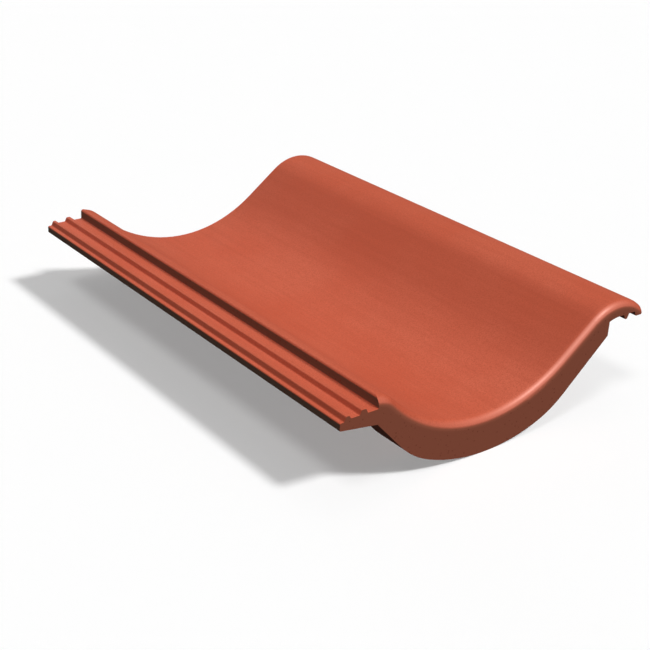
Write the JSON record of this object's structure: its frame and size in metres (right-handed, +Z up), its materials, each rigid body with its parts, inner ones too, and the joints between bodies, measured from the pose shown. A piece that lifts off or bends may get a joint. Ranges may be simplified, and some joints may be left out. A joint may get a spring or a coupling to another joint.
{
  "type": "interlocking concrete roof tile",
  "caption": "Cast concrete interlocking roof tile with one deep trough, one high roll, ribbed side locks, a thick rounded tail and batten nibs.",
  "frame": {"origin": "floor point under the centre of the tile's outline, with the tile lying trough down", "axes": "+X across the tile from the underlock to the overlock, +Y from the tail to the head, +Z up"},
  "size_m": [0.3, 0.42, 0.089],
  "materials": {
    "concrete": "terracotta red through-coloured concrete, fine sanded, satin"
  },
  "bodies": {
    "root": {"roof_tile": "concrete"}
  },
  "joints": []
}
